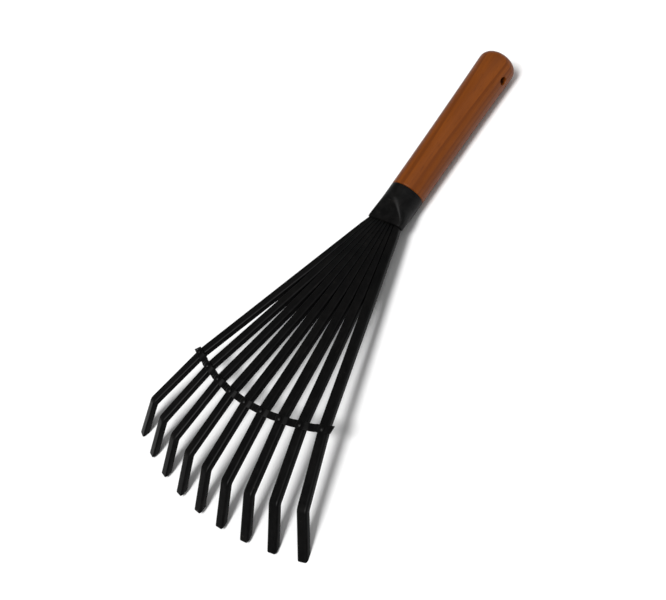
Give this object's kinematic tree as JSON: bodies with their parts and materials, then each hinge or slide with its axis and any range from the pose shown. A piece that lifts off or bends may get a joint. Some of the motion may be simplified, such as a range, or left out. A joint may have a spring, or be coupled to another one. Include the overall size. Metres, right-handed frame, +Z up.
{
  "type": "hand leaf rake",
  "caption": "Small hand rake: a fan of bent steel tines tied by a cross brace, in a flattened socket on a short turned wooden handle with a hang hole.",
  "frame": {"origin": "middle of the footprint at floor level, with the rake lying tines down on its outer tine tips and the butt of its handle", "axes": "+Y along the handle from the tines to the butt, +Z up off the floor, +X across the fan"},
  "size_m": [0.218, 0.4434, 0.0334],
  "materials": {
    "stained_wood": "orange-brown stained and varnished hardwood, satin",
    "black_enamel": "black stoved enamel on pressed steel, semi-gloss",
    "screw_steel": "plain steel screw, slightly dull"
  },
  "bodies": {
    "root": {"handle": "stained_wood", "socket": "black_enamel", "handle_screw": "screw_steel", "neck_plate": "black_enamel", "tine_1": "black_enamel", "tine_2": "black_enamel", "tine_3": "black_enamel", "tine_4": "black_enamel", "tine_5": "black_enamel", "tine_6": "black_enamel", "tine_7": "black_enamel", "tine_8": "black_enamel", "tine_9": "black_enamel", "cross_brace": "black_enamel", "brace_rivet_1": "black_enamel", "brace_rivet_2": "black_enamel", "brace_rivet_3": "black_enamel", "brace_rivet_4": "black_enamel", "brace_rivet_5": "black_enamel", "brace_rivet_6": "black_enamel", "brace_rivet_7": "black_enamel", "brace_rivet_8": "black_enamel", "brace_rivet_9": "black_enamel"}
  },
  "joints": []
}
